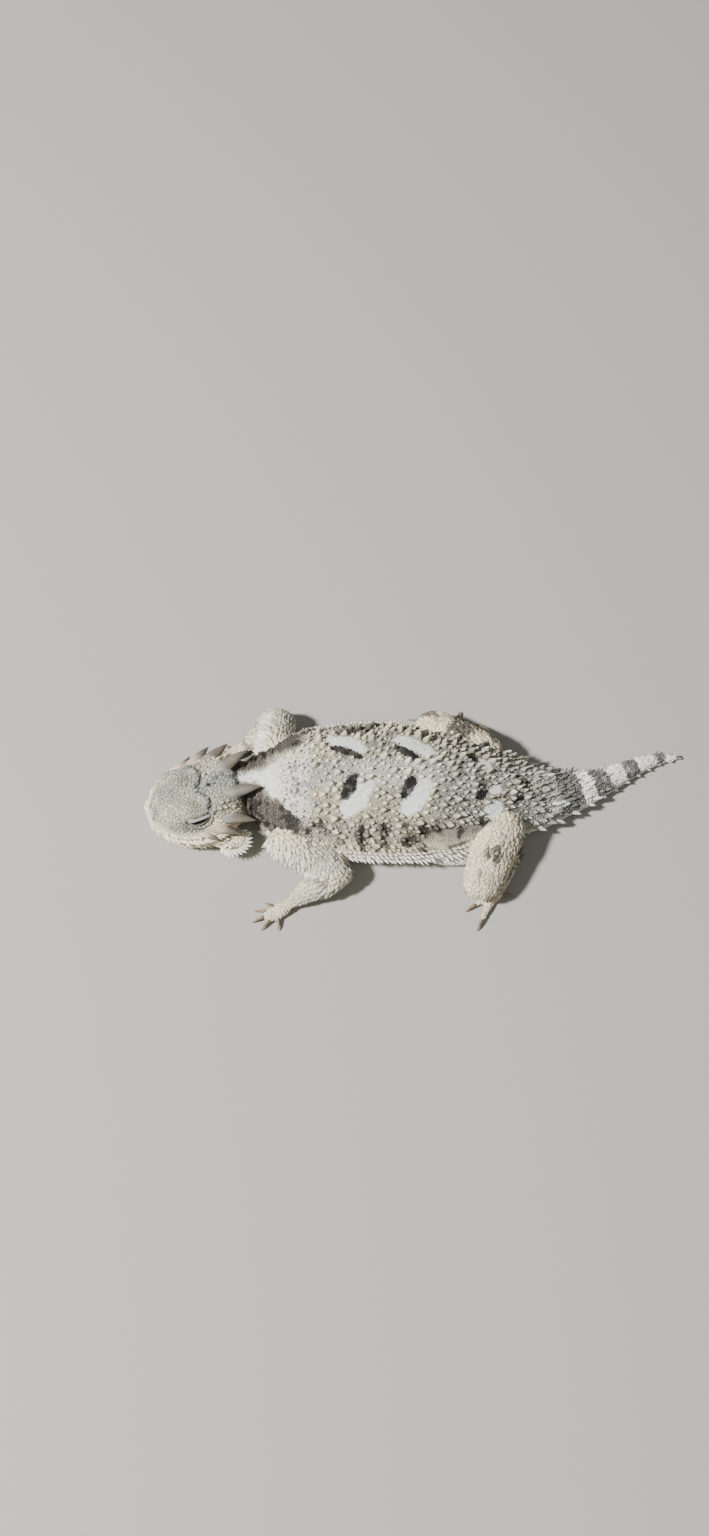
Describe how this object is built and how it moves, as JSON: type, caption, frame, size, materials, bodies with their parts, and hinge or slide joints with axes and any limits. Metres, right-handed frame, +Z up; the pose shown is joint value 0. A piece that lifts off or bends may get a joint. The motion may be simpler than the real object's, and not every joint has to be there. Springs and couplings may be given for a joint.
{
  "type": "desert horned lizard",
  "caption": "A still, life-size desert horned lizard resting on its belly with its head turned to its left and its legs drawn up.",
  "frame": {"origin": "on the flat of the belly at mid body, on the surface the animal rests on", "axes": "+Z up, -X toward the head, +X toward the tail, -Y toward the animal's left side"},
  "size_m": [0.12, 0.0537, 0.0173],
  "materials": {
    "torso": "matt spiny skin",
    "neck": "matt granular skin",
    "head": "matt scaly skin",
    "jaw": "matt scaly skin",
    "tail_base": "matt spiny skin",
    "tail_middle": "matt spiny skin",
    "tail_tip": "matt spiny skin",
    "eye_left": "wet and glossy",
    "horn_occipital_left": "dry satin horn",
    "horn_temporal_1_left": "dry satin horn",
    "horn_temporal_2_left": "dry satin horn",
    "horn_temporal_3_left": "dry satin horn",
    "upper_arm_left": "matt spiny skin",
    "forearm_left": "matt spiny skin",
    "hand_left": "matt scaly skin",
    "thigh_left": "matt scaly skin",
    "shin_left": "matt spiny skin",
    "foot_left": "matt scaly skin",
    "eye_right": "wet and glossy",
    "horn_occipital_right": "dry satin horn",
    "horn_temporal_1_right": "dry satin horn",
    "horn_temporal_2_right": "dry satin horn",
    "horn_temporal_3_right": "dry satin horn",
    "upper_arm_right": "matt spiny skin",
    "forearm_right": "matt spiny skin",
    "hand_right": "matt scaly skin",
    "thigh_right": "matt scaly skin",
    "shin_right": "matt spiny skin",
    "foot_right": "matt scaly skin"
  },
  "bodies": {
    "root": {"torso": "torso", "neck": "neck", "head": "head", "jaw": "jaw", "tail_base": "tail_base", "tail_middle": "tail_middle", "tail_tip": "tail_tip", "eye_left": "eye_left", "horn_occipital_left": "horn_occipital_left", "horn_temporal_1_left": "horn_temporal_1_left", "horn_temporal_2_left": "horn_temporal_2_left", "horn_temporal_3_left": "horn_temporal_3_left", "upper_arm_left": "upper_arm_left", "forearm_left": "forearm_left", "hand_left": "hand_left", "thigh_left": "thigh_left", "shin_left": "shin_left", "foot_left": "foot_left", "eye_right": "eye_right", "horn_occipital_right": "horn_occipital_right", "horn_temporal_1_right": "horn_temporal_1_right", "horn_temporal_2_right": "horn_temporal_2_right", "horn_temporal_3_right": "horn_temporal_3_right", "upper_arm_right": "upper_arm_right", "forearm_right": "forearm_right", "hand_right": "hand_right", "thigh_right": "thigh_right", "shin_right": "shin_right", "foot_right": "foot_right"}
  },
  "joints": []
}
